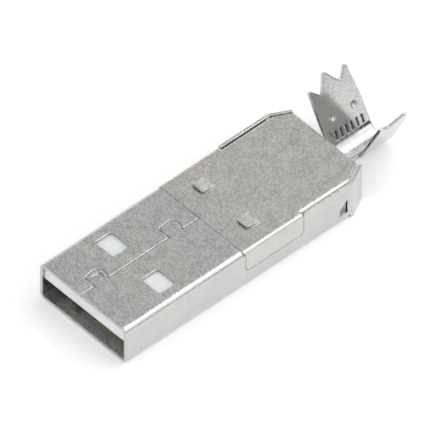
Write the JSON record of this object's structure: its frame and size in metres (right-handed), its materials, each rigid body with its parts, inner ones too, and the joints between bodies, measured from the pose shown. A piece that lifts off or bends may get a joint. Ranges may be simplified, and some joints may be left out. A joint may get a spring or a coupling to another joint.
{
  "type": "usb-a plug",
  "caption": "Bare metal plug for soldering to a cable: folded sheet shell, clip-on sheet lid, insulator with contacts, and a toothed cable claw at the rear.",
  "frame": {"origin": "centre of the mouth opening, in the plane of the shell's front rim", "axes": "+Y from the mouth towards the cable, +Z the side with the folded seam and the lid, +X across the plug"},
  "size_m": [0.012, 0.0376, 0.0073],
  "materials": {
    "shell_sheet": "nickel-plated steel sheet, satin",
    "lid_sheet": "nickel-plated steel sheet, satin with fine mottle",
    "insulator_plastic": "white moulded plastic",
    "contact_metal": "thin gold plating on brass"
  },
  "bodies": {
    "plug": {"shell": "shell_sheet", "insulator": "insulator_plastic", "contact_power": "contact_metal", "contact_data_minus": "contact_metal", "contact_data_plus": "contact_metal", "contact_ground": "contact_metal"},
    "lid": {"lid": "lid_sheet"}
  },
  "joints": [
    {"name": "lid_lift", "type": "slide", "parent": "plug", "child": "lid", "axis": [0, 0, 1], "range_m": [0, 0.008]}
  ]
}
